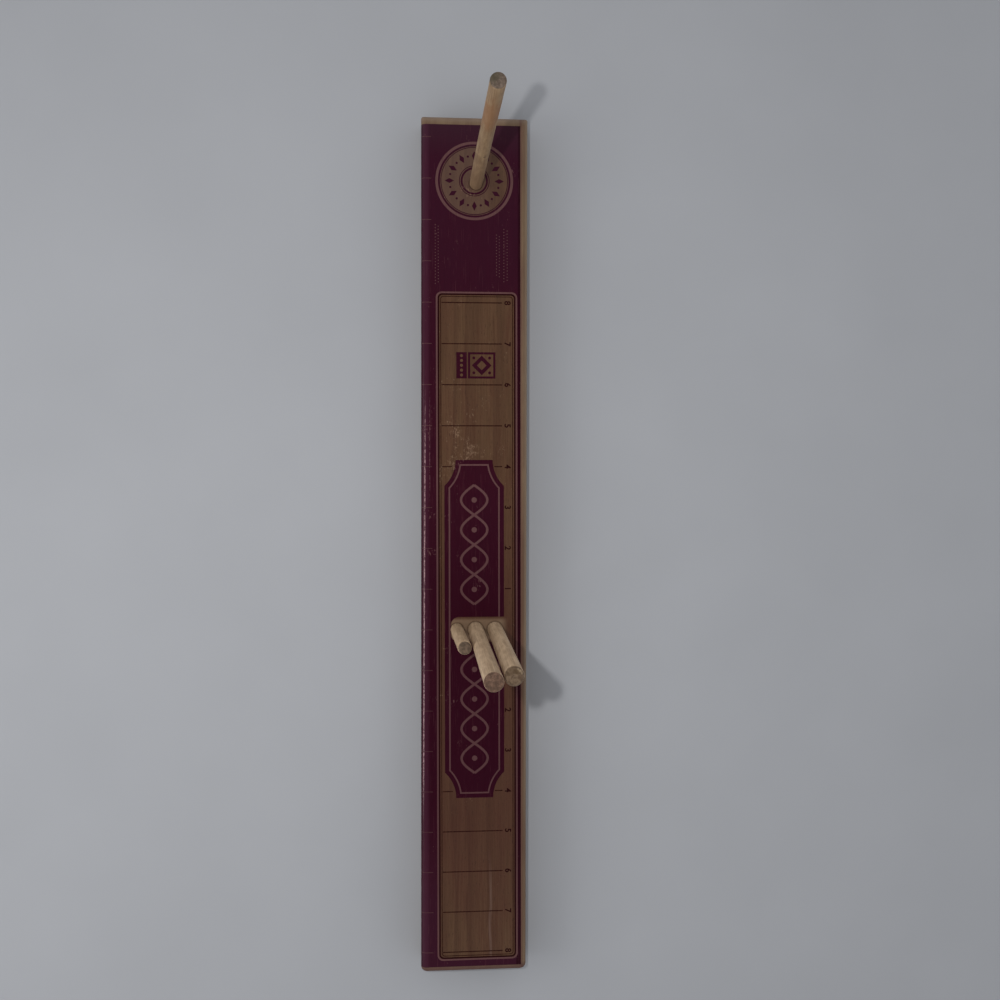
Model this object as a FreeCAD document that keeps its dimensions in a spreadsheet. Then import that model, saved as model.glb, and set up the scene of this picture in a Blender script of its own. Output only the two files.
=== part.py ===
import FreeCAD, Part
import os

import Sketcher

# Bow-making board: a long varnished board with routed front edges, lying on its back.
# A spool dowel stands near its far end and three ribbon pegs stand in a row at the zero
# mark of its inch scale. Each dowel is a loose turned stick that seats in a blind hole.
# Millimetres. X runs across the board, Y towards the spool end and Z up out of its face.
# The origin is under the middle of the board, on the plane that it lies on.

SIZES = (
    ("board_length", 533.4, "twenty-one inches"),
    ("board_width", 66.0, "across both roundovers"),
    ("board_thickness", 19.05, "three-quarter inch stock"),
    ("front_roundover", 3.2, "eighth-inch router bit, all round the face"),
    ("corner_ease", 1.5, "sanded corners, seen from above"),
    ("back_ease", 0.8, "sanded edges of the back"),
    ("hole_floor", 6.35, "wood left under each blind hole"),
    ("mouth_ease", 0.3, "countersunk rim of each hole"),
    ("zero_mark_from_top", 317.5, "from the spool end to the row of pegs"),
    ("spool_hole_from_top", 40.8, "from the spool end to the spool dowel"),
    ("spool_hole_shift", 0.8, "spool dowel, right of the middle line"),
    ("middle_peg_shift", 0.9, "middle peg, right of the middle line"),
    ("short_ribbon_gap", 2.9, "between the short and the middle peg"),
    ("tall_ribbon_gap", 2.6, "between the two tall pegs"),
    ("spool_dowel_diameter", 7.94, "five-sixteenths inch dowel"),
    ("short_peg_diameter", 7.94, "five-sixteenths inch dowel"),
    ("tall_peg_diameter", 9.53, "three-eighths inch dowel"),
    ("spool_dowel_reach", 165.0, "above the face"),
    ("short_peg_reach", 74.0, "above the face"),
    ("middle_peg_reach", 172.0, "above the face"),
    ("right_peg_reach", 163.0, "above the face"),
    ("seat_clearance", 0.05, "radial, between a seated end and its hole"),
    ("seat_cone", 0.8, "height of the cone above the seated end"),
    ("seat_chamfer", 0.6, "lead-in at the seated end"),
    ("tip_round", 0.5, "sanded rim of a square-cut tip"),
    ("tip_chamfer", 1.3, "bevelled rim of the right peg's tip"),
)

ZERO_MARK_Y = "Sizes.board_length / 2 - Sizes.zero_mark_from_top"
SPOOL_HOLE_Y = "Sizes.board_length / 2 - Sizes.spool_hole_from_top"
HOLE_DEPTH = "Sizes.board_thickness - Sizes.hole_floor"
SHORT_PEG_X = (
    "Sizes.middle_peg_shift - Sizes.tall_peg_diameter / 2"
    " - Sizes.short_ribbon_gap - Sizes.short_peg_diameter / 2"
)
RIGHT_PEG_X = "Sizes.middle_peg_shift + Sizes.tall_peg_diameter + Sizes.tall_ribbon_gap"

# node name, diameter, reach above the face, place across, place along
DOWELS = (
    ("spool_dowel", "spool_dowel_diameter", "spool_dowel_reach", "Sizes.spool_hole_shift", SPOOL_HOLE_Y),
    ("short_peg", "short_peg_diameter", "short_peg_reach", SHORT_PEG_X, ZERO_MARK_Y),
    ("middle_tall_peg", "tall_peg_diameter", "middle_peg_reach", "Sizes.middle_peg_shift", ZERO_MARK_Y),
    ("right_tall_peg", "tall_peg_diameter", "right_peg_reach", RIGHT_PEG_X, ZERO_MARK_Y),
)

FULL_TURN = 360
SAME_PLACE = 1e-6  # how closely an edge must lie to the place where it is looked for
# what a sketch calls its origin, its axes and the points of a line or circle
ORIGIN_INDEX = (-1, 1)
HORIZONTAL_INDEX = -1
VERTICAL_INDEX = -2
START_INDEX = 1
END_INDEX = 2
CENTRE_INDEX = 3


def size_sheet(doc):
    """The driving dimensions, one row each: name, value and what it measures."""
    sheet = doc.addObject("Spreadsheet::Sheet", "Sizes")
    for row, (alias, value, meaning) in enumerate(SIZES, start=1):
        sheet.set(f"A{row}", alias)
        sheet.set(f"B{row}", str(value))
        sheet.setAlias(f"B{row}", alias)
        sheet.set(f"C{row}", meaning)
    doc.recompute()
    return sheet


def new_body(doc, name):
    body = doc.addObject("PartDesign::Body", name)
    body.Label = name
    return body


def new_sketch(body, name, role):
    """An empty sketch on one of the body's own origin planes."""
    sketch = body.newObject("Sketcher::SketchObject", name)
    plane = next(f for f in body.Origin.OriginFeatures if f.Role == role)
    sketch.AttachmentSupport = [(plane, "")]
    sketch.MapMode = "FlatFace"
    return sketch


def tie(sketch, kind, *where, to):
    """Adds one measured constraint and binds its value to the expression."""
    value = float(sketch.evalExpression(to))
    index = sketch.addConstraint(Sketcher.Constraint(kind, *where, value))
    sketch.setExpression(f"Constraints[{index}]", to)


def value_of(sketch, expression):
    return float(sketch.evalExpression(expression)) if expression else 0.0


def closed_outline(sketch, corners):
    """Straight sides through corners given as expressions, with None for a zero coordinate."""
    points = [FreeCAD.Vector(value_of(sketch, x), value_of(sketch, y), 0) for x, y in corners]
    sides = []
    for here, there in zip(points, points[1:] + points[:1]):
        sides.append(sketch.addGeometry(Part.LineSegment(here, there)))
    for side, following in zip(sides, sides[1:] + sides[:1]):
        sketch.addConstraint(Sketcher.Constraint("Coincident", side, END_INDEX, following, START_INDEX))
    for side, (x, y) in zip(sides, corners):
        if x:
            tie(sketch, "DistanceX", *ORIGIN_INDEX, side, START_INDEX, to=x)
        else:
            sketch.addConstraint(Sketcher.Constraint("PointOnObject", side, START_INDEX, VERTICAL_INDEX))
        if y:
            tie(sketch, "DistanceY", *ORIGIN_INDEX, side, START_INDEX, to=y)
        else:
            sketch.addConstraint(Sketcher.Constraint("PointOnObject", side, START_INDEX, HORIZONTAL_INDEX))


def round_outline(sketch, x, y, diameter):
    """One circle, placed and sized by expressions."""
    centre = FreeCAD.Vector(value_of(sketch, x), value_of(sketch, y), 0)
    upwards = FreeCAD.Vector(0, 0, 1)
    circle = sketch.addGeometry(Part.Circle(centre, upwards, value_of(sketch, diameter) / 2))
    tie(sketch, "DistanceX", *ORIGIN_INDEX, circle, CENTRE_INDEX, to=x)
    tie(sketch, "DistanceY", *ORIGIN_INDEX, circle, CENTRE_INDEX, to=y)
    tie(sketch, "Diameter", circle, to=diameter)


def edge_names(shape, wanted):
    return [f"Edge{n}" for n, edge in enumerate(shape.Edges, start=1) if wanted(edge)]


def at_height(edge, height):
    box = edge.BoundBox
    return abs(box.ZMin - height) < SAME_PLACE and abs(box.ZMax - height) < SAME_PLACE


def ease(body, base, kind, name, edges, size, expression):
    """A fillet or chamfer on the named edges of the feature before it."""
    feature = body.newObject(f"PartDesign::{kind}", name)
    feature.Base = (base, edges)
    feature.setExpression(size, expression)
    body.Document.recompute()
    return feature


def board(doc):
    """The board: padded from its outline, eased, routed round its face and drilled four times."""
    body = new_body(doc, "board")
    outline = new_sketch(body, "board_outline", "XY_Plane")
    half_width, half_length = "Sizes.board_width / 2", "Sizes.board_length / 2"
    closed_outline(
        outline,
        [
            (f"-{half_width}", f"-{half_length}"),
            (half_width, f"-{half_length}"),
            (half_width, half_length),
            (f"-{half_width}", half_length),
        ],
    )
    blank = body.newObject("PartDesign::Pad", "board_blank")
    blank.Profile = outline
    blank.setExpression("Length", "Sizes.board_thickness")
    doc.recompute()
    top = blank.Shape.BoundBox.ZMax

    face_rim = edge_names(blank.Shape, lambda e: at_height(e, top))
    routed = ease(body, blank, "Fillet", "routed_face_edge", face_rim, "Radius", "Sizes.front_roundover")
    upright = edge_names(routed.Shape, lambda e: e.BoundBox.ZLength > top / 2)
    corners = ease(body, routed, "Fillet", "sanded_corners", upright, "Radius", "Sizes.corner_ease")
    back_rim = edge_names(corners.Shape, lambda e: at_height(e, 0))
    blunted = ease(body, corners, "Chamfer", "sanded_back_edge", back_rim, "Size", "Sizes.back_ease")

    drilling = new_sketch(body, "hole_places", "XY_Plane")
    drilling.setExpression("AttachmentOffset.Base.z", "Sizes.board_thickness")
    for _, diameter, _, across, along in DOWELS:
        round_outline(drilling, across, along, f"Sizes.{diameter}")
    holes = body.newObject("PartDesign::Pocket", "blind_holes")
    holes.Profile = drilling
    holes.setExpression("Length", HOLE_DEPTH)
    doc.recompute()
    if holes.Shape.Volume >= blunted.Shape.Volume:
        raise RuntimeError("the holes point away from the board")

    mouths = edge_names(holes.Shape, lambda e: at_height(e, top) and e.isClosed())
    ease(body, holes, "Chamfer", "hole_mouths", mouths, "Size", "Sizes.mouth_ease")
    return body


def dowel(doc, name, diameter, reach, across, along, bevelled_tip):
    """A turned stick: a seat a hair thinner than its hole, a short cone, and the straight free length."""
    body = new_body(doc, name)
    body.setExpression("Placement.Base.x", across)
    body.setExpression("Placement.Base.y", along)
    body.setExpression("Placement.Base.z", "Sizes.hole_floor")
    free_radius = f"Sizes.{diameter} / 2"
    seat_radius = f"{free_radius} - Sizes.seat_clearance"
    whole_length = f"{HOLE_DEPTH} + Sizes.{reach}"

    half = new_sketch(body, f"{name}_half_outline", "XZ_Plane")
    closed_outline(
        half,
        [
            (None, None),
            (seat_radius, None),
            (seat_radius, HOLE_DEPTH),
            (free_radius, f"{HOLE_DEPTH} + Sizes.seat_cone"),
            (free_radius, whole_length),
            (None, whole_length),
        ],
    )
    turned = body.newObject("PartDesign::Revolution", f"{name}_turned")
    turned.Profile = half
    turned.ReferenceAxis = (half, ["V_Axis"])
    turned.Angle = FULL_TURN
    doc.recompute()

    seat_rim = edge_names(turned.Shape, lambda e: at_height(e, 0))
    seated = ease(body, turned, "Chamfer", f"{name}_lead_in", seat_rim, "Size", "Sizes.seat_chamfer")
    top = seated.Shape.BoundBox.ZMax
    tip_rim = edge_names(seated.Shape, lambda e: at_height(e, top))
    if bevelled_tip:
        ease(body, seated, "Chamfer", f"{name}_bevel", tip_rim, "Size", "Sizes.tip_chamfer")
    else:
        ease(body, seated, "Fillet", f"{name}_sanded_tip", tip_rim, "Radius", "Sizes.tip_round")
    return body


def check(doc, bodies):
    """Stops before anything is written if a feature failed or a sub-part isn't one sound solid."""
    for item in doc.Objects:
        if "Invalid" in item.State or "Error" in item.State:
            raise RuntimeError(f"{item.Name} failed: {item.State}")
    for body in bodies:
        if body.Shape.isNull() or not body.Shape.isValid():
            raise RuntimeError(f"{body.Label} has no sound shape")


doc = FreeCAD.newDocument("bow_board")
size_sheet(doc)
bodies = [board(doc)]
for name, diameter, reach, across, along in DOWELS:
    bodies.append(dowel(doc, name, diameter, reach, across, along, name == "right_tall_peg"))
doc.recompute()
check(doc, bodies)

os.makedirs("parts", exist_ok=True)
for body in bodies:
    body.Shape.exportStep(f"parts/{body.Label}.step")
    box = body.Shape.optimalBoundingBox(False)
    print(
        f"{body.Label}: {len(body.Shape.Solids)} solid, {body.Shape.Volume:.1f} mm3,"
        f" x {box.XMin:.2f} to {box.XMax:.2f}, y {box.YMin:.2f} to {box.YMax:.2f},"
        f" z {box.ZMin:.2f} to {box.ZMax:.2f}"
    )
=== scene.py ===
import math

import bmesh
import bpy
from mathutils import Matrix, Vector


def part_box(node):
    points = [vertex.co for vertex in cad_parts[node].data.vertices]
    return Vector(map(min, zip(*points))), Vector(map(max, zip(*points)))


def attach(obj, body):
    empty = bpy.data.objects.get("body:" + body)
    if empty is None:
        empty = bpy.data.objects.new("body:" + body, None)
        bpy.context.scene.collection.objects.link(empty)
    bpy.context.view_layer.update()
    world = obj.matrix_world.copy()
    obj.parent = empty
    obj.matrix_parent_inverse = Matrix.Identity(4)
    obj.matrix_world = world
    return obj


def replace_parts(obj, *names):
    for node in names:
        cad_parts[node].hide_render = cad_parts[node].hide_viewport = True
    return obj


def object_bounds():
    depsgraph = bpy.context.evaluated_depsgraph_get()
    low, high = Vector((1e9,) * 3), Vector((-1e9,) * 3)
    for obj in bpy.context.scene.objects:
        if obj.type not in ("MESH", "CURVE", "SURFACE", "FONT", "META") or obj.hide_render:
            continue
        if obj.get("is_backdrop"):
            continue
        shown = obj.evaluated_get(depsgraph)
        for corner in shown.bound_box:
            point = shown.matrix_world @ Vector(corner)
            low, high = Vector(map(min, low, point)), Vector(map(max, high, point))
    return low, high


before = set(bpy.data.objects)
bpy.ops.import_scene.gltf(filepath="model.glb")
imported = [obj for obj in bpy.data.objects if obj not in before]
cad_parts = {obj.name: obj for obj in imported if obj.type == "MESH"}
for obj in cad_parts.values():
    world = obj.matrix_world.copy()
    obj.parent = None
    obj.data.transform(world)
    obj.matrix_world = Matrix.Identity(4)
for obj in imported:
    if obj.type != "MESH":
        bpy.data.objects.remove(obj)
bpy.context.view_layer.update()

# Board

# One length of maple, three quarters of an inch thick. The edges of its face are routed
# round, its corners and back edges are eased, and four blind holes are drilled for the
# dowels. The printed face is under amber varnish; the routed edges are left bare.
MM = 0.001
TOUCH = MM / 1000
board_low, board_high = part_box("board")
FACE = board_high.z
HALF_WIDTH = board_high.x
HALF_LENGTH = board_high.y
ROUNDOVER = 3.2 * MM
ROUNDOVER_STEPS = 12
TOP_CORNERS = 1.3 * MM
BOTTOM_CORNERS = 3.2 * MM
CORNER_STEPS = 6
BACK_EASE = 0.8 * MM
MOUTH_EASE = 0.3 * MM
FACE_MARGIN = 0.4 * MM
DOWEL_NAMES = ("spool_dowel", "short_peg", "middle_tall_peg", "right_tall_peg")
DOWEL_SIDES = 48
SHARP_ANGLE = math.radians(30)

# The scale counts inches both ways from a zero mark, which the row of pegs stands on.
INCH = 25.4 * MM
ZERO_MARK = HALF_LENGTH - 12.5 * INCH
PRINT_RIGHT = 28.75 * MM
PRINT_SKEW = 0.003
SKEW_CENTRE_Y = 92.0 * MM
PRINT_TOP = ZERO_MARK + 12.3 * INCH
PRINT_BOTTOM = ZERO_MARK - 8.365 * INCH


def moved(x, y, z):
    """A shift by x, y and z."""
    return Matrix.Translation((x, y, z))


def ease(mesh, edges, width, steps):
    """Rounds edges, or cuts them at a slant with one step."""
    bmesh.ops.bevel(mesh, geom=edges, offset=width, offset_type="OFFSET", segments=steps,
                    profile=0.5, affect="EDGES", material=-1, clamp_overlap=False)


def edges_at(mesh, test):
    """The edges whose two ends and middle all pass a test."""
    return [e for e in mesh.edges
            if all(test(p) for p in (e.verts[0].co, e.verts[1].co,
                                     (e.verts[0].co + e.verts[1].co) / 2))]


def filled(mesh, edges):
    """Fills the plane between closed outlines and leaves openings where they are nested."""
    bmesh.ops.triangle_fill(mesh, use_beauty=True, use_dissolve=False, edges=edges,
                            normal=(0, 0, 1))


def finished(mesh, name, body, material):
    """Makes an object of a mesh, smooth up to its sharp edges, and lets it ride."""
    bmesh.ops.recalc_face_normals(mesh, faces=mesh.faces)
    for face in mesh.faces:
        face.smooth = True
    for edge in mesh.edges:
        if len(edge.link_faces) == 2:
            edge.smooth = edge.calc_face_angle(0.0) < SHARP_ANGLE
    data = bpy.data.meshes.new(name)
    mesh.to_mesh(data)
    mesh.free()
    data.materials.append(material)
    made = bpy.data.objects.new(name, data)
    bpy.context.scene.collection.objects.link(made)
    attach(made, body)
    return made


def srgb(red, green, blue):
    """A colour written as 0 to 255 display values, for a shader's socket."""
    def linear(value):
        value /= 255
        return value / 12.92 if value <= 0.04045 else ((value + 0.055) / 1.055) ** 2.4
    return (linear(red), linear(green), linear(blue), 1.0)


class Wire:
    """One value among a finish's nodes. Sums and products of wires add Math nodes."""

    def __init__(self, finish, socket):
        self.finish = finish
        self.socket = socket

    def out(self, name):
        return Wire(self.finish, self.socket.node.outputs[name])

    def math(self, operation, first, second):
        return self.finish.node("ShaderNodeMath", {"operation": operation},
                                {0: first, 1: second})

    def __add__(self, other):
        return self.math("ADD", self, other)

    def __radd__(self, other):
        return self.math("ADD", other, self)

    def __sub__(self, other):
        return self.math("SUBTRACT", self, other)

    def __rsub__(self, other):
        return self.math("SUBTRACT", other, self)

    def __mul__(self, other):
        return self.math("MULTIPLY", self, other)

    def __rmul__(self, other):
        return self.math("MULTIPLY", other, self)

    def __truediv__(self, other):
        return self.math("DIVIDE", self, other)

    def __rtruediv__(self, other):
        return self.math("DIVIDE", other, self)

    def __pow__(self, other):
        return self.math("POWER", self, other)

    def __rpow__(self, other):
        return self.math("POWER", other, self)


class Nodes:
    """A node tree that is built up from wires."""

    def __init__(self, owner):
        owner.use_nodes = True
        self.tree = owner.node_tree
        self.tree.nodes.clear()

    def node(self, kind, settings=None, sockets=None, output=0):
        """Adds a node, with its settings first, and returns a wire from one output."""
        made = self.tree.nodes.new(kind)
        for key, value in (settings or {}).items():
            setattr(made, key, value)
        for key, value in (sockets or {}).items():
            self.join(value, made.inputs[key])
        return Wire(self, made.outputs[output]) if made.outputs else None

    def join(self, value, socket):
        if isinstance(value, Wire):
            self.tree.links.new(value.socket, socket)
        else:
            socket.default_value = value

    def split(self, vector):
        parts = self.node("ShaderNodeSeparateXYZ", {}, {0: vector})
        return parts.out("X"), parts.out("Y"), parts.out("Z")

    def noise(self, vector, by, detail=2.0, roughness=0.5):
        """Noise whose cells are 1/by millimetres along each axis."""
        stretched = self.node("ShaderNodeVectorMath", {"operation": "MULTIPLY"},
                              {0: vector, 1: by})
        return self.node("ShaderNodeTexNoise", {"noise_dimensions": "3D"},
                         {"Vector": stretched, "Scale": 1.0, "Detail": detail,
                          "Roughness": roughness})

    def step(self, value, start, end):
        """0 before start and 1 after end, smooth between them."""
        return self.node("ShaderNodeMapRange",
                         {"interpolation_type": "SMOOTHSTEP", "clamp": True},
                         {"Value": value, "From Min": start, "From Max": end,
                          "To Min": 0.0, "To Max": 1.0})

    def mix(self, factor, first, second):
        """A colour between two others."""
        return self.node("ShaderNodeMix", {"data_type": "RGBA"},
                         {0: factor, 6: first, 7: second}, output=2)


class Finish(Nodes):
    """A material with one Principled shader."""

    def __init__(self, name, **constants):
        self.material = bpy.data.materials.new(name)
        super().__init__(self.material)
        self.shader = self.node("ShaderNodeBsdfPrincipled", {}, constants)
        self.node("ShaderNodeOutputMaterial", {}, {"Surface": self.shader})
        self.place = self.node("ShaderNodeTexCoord").out("Object")

    def feed(self, name, value):
        self.join(value, self.shader.socket.node.inputs[name])

    def mapped(self, turn=(0, 0, 0), shift=(0, 0, 0)):
        """The object's coordinates in millimetres, turned and then shifted."""
        return self.node("ShaderNodeMapping", {"vector_type": "POINT"},
                         {"Vector": self.place, "Rotation": turn, "Location": shift,
                          "Scale": (1 / MM, 1 / MM, 1 / MM)})

    def bump(self, height, depth):
        """A dent or rise of up to depth metres."""
        return self.node("ShaderNodeBump", {}, {"Height": height, "Distance": depth,
                                                "Strength": 1.0})


def wood_figure(finish, place, pith, ring):
    """Late wood, fibres, patches and dark flecks of solid wood with its grain along Z, each
    0 to 1."""
    x, y = finish.split(place)[:2]
    sway = finish.noise(place, (0.05, 0.05, 0.005), detail=4.0, roughness=0.6) * 16.0
    across, deep = x - pith[0], y - pith[1]
    distance = (across * across + deep * deep) ** 0.5 + sway
    phase = finish.node("ShaderNodeMath", {"operation": "FRACT"}, {0: distance / ring})
    late = finish.step(phase, 0.2, 0.9) * (1 - finish.step(phase, 0.9, 1.0))
    fibres = finish.step(finish.noise(place, (1.5, 1.5, 0.04), detail=4.0, roughness=0.65),
                         0.28, 0.72)
    patches = finish.step(finish.noise(place, (0.13, 0.13, 0.028), detail=3.0,
                                       roughness=0.6), 0.32, 0.68)
    flecks = finish.step(finish.noise(place, (2.2, 2.2, 0.22), detail=2.0, roughness=0.6),
                         0.58, 0.72)
    return late, fibres, patches, flecks


def rubbed(finish, place, more):
    """Small pale rub marks, 0 to 1, denser where more is high."""
    patches = finish.noise(place, (0.12, 0.12, 0.07), detail=2.0)
    dabs = finish.noise(place, (0.9, 0.9, 0.45), detail=3.0, roughness=0.75)
    return finish.step(patches * 0.8 + dabs + more, 1.1, 1.26)


def near(finish, value, centre, core, reach):
    """1 within a core round the centre and 0 beyond a reach from it."""
    off = finish.node("ShaderNodeMath", {"operation": "ABSOLUTE"}, {0: value - centre})
    return 1 - finish.step(off, core, reach)


# Places on the board in millimetres, each with its centre, its core and its reach.
# The lower stretch of the board is painted darker, as shade from uneven light.
SHADED_STRETCH = (-110.0, 60.0, 170.0)
WORN_ALONG, WORN_ACROSS = (66.0, 18.0, 52.0), (-9.0, 8.0, 26.0)
STREAK_ACROSS = (10.2, 0.3, 1.2)
PEGS_ALONG, PEGS_ACROSS = (ZERO_MARK / MM, 5.0, 8.0), (2.0, 14.0, 20.0)

# The heart of the tree, in millimetres off the board's axis, and one year's growth.
PITH = (55.0, 90.0)
YEAR_RING = 5.5

# The figure of the wood runs along Z, and this turn lays it along the board.
ALONG_BOARD = (math.radians(90), 0, 0)

varnished = Finish("varnished_maple", **{"Specular IOR Level": 0.12, "Coat Roughness": 0.24,
                                         "Coat IOR": 1.45})
along = varnished.mapped(turn=ALONG_BOARD)
late, fibres, patches, flecks = wood_figure(varnished, along, PITH, YEAR_RING)
x, y, z = varnished.split(varnished.mapped())
face_mm, print_right, print_top, print_bottom = (
    value / MM for value in (FACE, PRINT_RIGHT, PRINT_TOP, PRINT_BOTTOM))
skewed_x = x + (y - SKEW_CENTRE_Y / MM) * PRINT_SKEW
on_print = (varnished.step(z, face_mm - 0.6, face_mm - 0.2)
            * (1 - varnished.step(skewed_x, print_right - 0.8, print_right - 0.5))
            * (1 - varnished.step(y, print_top - 1.0, print_top - 0.6))
            * varnished.step(y, print_bottom + 0.6, print_bottom + 1.0))

# Bare wood on the routed edges, the sides and the back.
bare = varnished.mix(fibres * 0.45 + patches * 0.55, srgb(97, 74, 60), srgb(118, 98, 76))
bare = varnished.mix(late * 0.25, bare, srgb(90, 70, 54))
# Painted shade over the lower stretch of the board.
painted_shade_stretch = near(varnished, y, *SHADED_STRETCH)
bare = varnished.mix(painted_shade_stretch * 0.3, bare, srgb(72, 46, 36))
# Painted light: the routed strip at the top end is lighter, as if lit from above.
painted_light_top = varnished.step(y, HALF_LENGTH / MM - 5.0, HALF_LENGTH / MM - 1.0)
# Painted shade: the foot end of the board is darker, as if in contact shadow.
painted_shade_foot = 1 - varnished.step(y, 2.0 - HALF_LENGTH / MM, 6.0 - HALF_LENGTH / MM)
bare = varnished.mix(painted_light_top * 0.4, bare, srgb(140, 122, 108))
# Painted light: the outer side of the right routed edge is lighter, more so towards the
# foot.
painted_light_right_rim = (varnished.step(x, HALF_WIDTH / MM - 2.2, HALF_WIDTH / MM - 0.6)
           * (0.15 + varnished.step(y, -210.0, -110.0) * 0.85))
bare = varnished.mix(painted_light_right_rim * 0.5, bare, srgb(136, 120, 100))
bare = varnished.mix(painted_shade_foot * 0.7, bare, srgb(80, 54, 50))
near_face = varnished.step(z, face_mm - 3.0, face_mm - 1.0)
bled = near(varnished, skewed_x, print_right + 0.2, 0.2, 1.3) * near_face
bare = varnished.mix(bled * 0.35, bare, srgb(84, 46, 50))

# Wood under the print and its amber varnish.
toned = varnished.mix(patches, srgb(76, 48, 33), srgb(79, 56, 37))
toned = varnished.mix(fibres * 0.75, toned, srgb(91, 65, 46))
toned = varnished.mix(late * 0.35, toned, srgb(56, 33, 22))
toned = varnished.mix(flecks * 0.6, toned, srgb(40, 22, 14))
# Painted shade over the lower stretch of the board.
toned = varnished.mix(painted_shade_stretch * 0.45, toned, srgb(58, 24, 20))
round_spool = varnished.step(y, 180.0, 200.0) * (1 - varnished.step(x, 2.0, 14.0) * 0.6)
toned = varnished.mix(round_spool * 0.4, toned, srgb(96, 75, 68))
worn = near(varnished, y, *WORN_ALONG) * near(varnished, x, *WORN_ACROSS)
unrubbed = 1 - varnished.step(y, -150.0, -120.0)
rubs = rubbed(varnished, along, worn * 0.12 - unrubbed * 0.07)
toned = varnished.mix(rubs * 0.5, toned, srgb(138, 112, 90))
by_pegs = near(varnished, y, *PEGS_ALONG) * near(varnished, x, *PEGS_ACROSS)
toned = varnished.mix(by_pegs * 0.6, toned, srgb(132, 110, 88))
wander = (varnished.noise(along, (0.0, 0.0, 0.03), detail=1.0) - 0.5) * 5.0
streak = (near(varnished, x + wander, *STREAK_ACROSS)
          * (1 - varnished.step(y, -222.0, -185.0)) * (0.4 + fibres))
toned = varnished.mix(streak * 0.32, toned, srgb(120, 96, 86))

# Grime and painted shade round the holes of the dowels.
wood = varnished.mix(on_print, bare, toned)
for name in DOWEL_NAMES:
    low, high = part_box(name)
    middle, radius = (low + high) / 2 / MM, (high.x - low.x) / 2 / MM
    apart = ((x - middle.x) * (x - middle.x) + (y - middle.y) * (y - middle.y)) ** 0.5
    grime_and_shade = 1 - varnished.step(apart, radius + 0.1, radius + 1.3)
    wood = varnished.mix(grime_and_shade * near_face * 0.3, wood, srgb(44, 30, 22))
varnished.feed("Base Color", wood)
varnished.feed("Roughness", 0.62 - on_print * 0.12 + rubs * 0.1)
varnished.feed("Coat Weight", on_print * 0.38 * (1 - rubs * 0.6))
varnished.feed("Normal", varnished.bump(fibres * 0.6 + late * 0.2 - flecks * 0.6, 0.00005))

board = bmesh.new()
bmesh.ops.create_cube(board, size=1.0, matrix=Matrix.LocRotScale(
    (board_low + board_high) / 2, None, board_high - board_low))
ease(board, edges_at(board, lambda p: p.z > FACE - MM), ROUNDOVER, ROUNDOVER_STEPS)
for end, corner in ((1, TOP_CORNERS), (-1, BOTTOM_CORNERS)):
    ease(board, edges_at(board, lambda p: abs((HALF_WIDTH - abs(p.x))
                                              - (HALF_LENGTH - end * p.y)) < TOUCH),
         corner, CORNER_STEPS)
ease(board, edges_at(board, lambda p: p.z < TOUCH), BACK_EASE, 1)
top = max(board.faces, key=lambda f: f.calc_center_median().z / MM + f.calc_area())
bmesh.ops.inset_region(board, faces=[top], thickness=FACE_MARGIN, use_even_offset=True)
rim = list(top.edges)
bmesh.ops.delete(board, geom=[top], context="FACES_ONLY")
mouths = []
for name in DOWEL_NAMES:
    low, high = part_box(name)
    centre, radius = (low + high) / 2, (high.x - low.x) / 2
    ring = bmesh.ops.create_circle(board, cap_ends=False, segments=DOWEL_SIDES,
                                   radius=radius + MOUTH_EASE,
                                   matrix=moved(centre.x, centre.y, FACE))["verts"]
    edges = list({e for v in ring for e in v.link_edges})
    mouths.append((edges, centre, radius, low.z))
filled(board, rim + [e for m in mouths for e in m[0]])
for edges, centre, radius, floor in mouths:
    for wide, height in ((radius, FACE - MOUTH_EASE), (radius, floor)):
        grown = bmesh.ops.extrude_edge_only(board, edges=edges)["geom"]
        edges = [g for g in grown if isinstance(g, bmesh.types.BMEdge)]
        for vert in [g for g in grown if isinstance(g, bmesh.types.BMVert)]:
            flat = Vector((vert.co.x - centre.x, vert.co.y - centre.y, 0)).normalized()
            vert.co = Vector((centre.x, centre.y, height)) + flat * wide
    bmesh.ops.edgeloop_fill(board, edges=edges)
for vert in board.verts:
    vert.co = Vector(min(max(along_axis, low), high) for along_axis, low, high
                     in zip(vert.co, board_low, board_high))
board_piece = finished(board, "varnished_board", "board", varnished.material)
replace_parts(board_piece, "board")

# Printed face

# One dark plum ink, printed straight on the wood. Its ground fills the face and runs over
# the left edge, and leaves openings of bare wood for the ring round the spool dowel and
# for the framed inch scale.
INK_RISE = 0.03 * MM
INK_DEPTH = 0.05 * MM
INK_LEVEL = FACE + INK_RISE
FRAME_TOP = ZERO_MARK + 8.265 * INCH
FRAME_BOTTOM = ZERO_MARK - 8.21 * INCH
FRAME_LEFT = -23.8 * MM
FRAME_RIGHT = 26.8 * MM
FRAME_CORNER = 3.6 * MM
FRAME_CORNER_STEPS = 8
RING_RADIUS = 24.1 * MM
RING_SIDES = 128
RING_CENTRE = (0.2 * MM, 227.35 * MM)
WRAP_START = -HALF_WIDTH + ROUNDOVER
WRAP_ANGLE = math.radians(80)
WRAP_STEPS = 10

# Places on the ink in millimetres, each with its centre, its core and its reach.
DEEP_STRETCH = (-90.0, 50.0, 130.0)
SHEEN_BEND = (-30.0, 0.2, 2.9)
RUBBED_ALONG, RUBBED_ACROSS = (40.0, 30.0, 80.0), (-20.0, 12.0, 30.0)
BEND_ALONG, BEND_ACROSS = (-36.0, 90.0, 142.0), (-30.86, 0.05, 0.55)
BEND_SLANT = 0.0043
PALE_LINE_ALONG, PALE_LINE_ACROSS = (62.0, 10.0, 45.0), (-27.7, 0.1, 0.5)

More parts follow.
